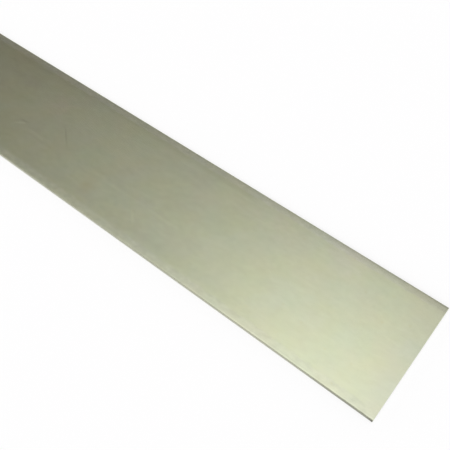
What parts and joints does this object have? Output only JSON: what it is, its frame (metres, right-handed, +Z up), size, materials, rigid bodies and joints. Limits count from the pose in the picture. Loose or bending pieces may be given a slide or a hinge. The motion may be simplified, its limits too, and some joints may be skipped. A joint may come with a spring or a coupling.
{
  "type": "metal flat bar",
  "caption": "Long, thin flat bar of light metal with square-cut ends and slightly thinned, rounded long edges, as raw stock for framing, straps and brackets.",
  "frame": {"origin": "centre of the resting face, at mid length and mid width", "axes": "+X along the bar, +Y across its width, +Z up through its thickness"},
  "size_m": [0.9144, 0.0508, 0.0016],
  "materials": {
    "mill_finish_aluminium": "mill finish, satin, with faint lengthwise rolling lines"
  },
  "bodies": {
    "root": {"flat_bar": "mill_finish_aluminium"}
  },
  "joints": []
}
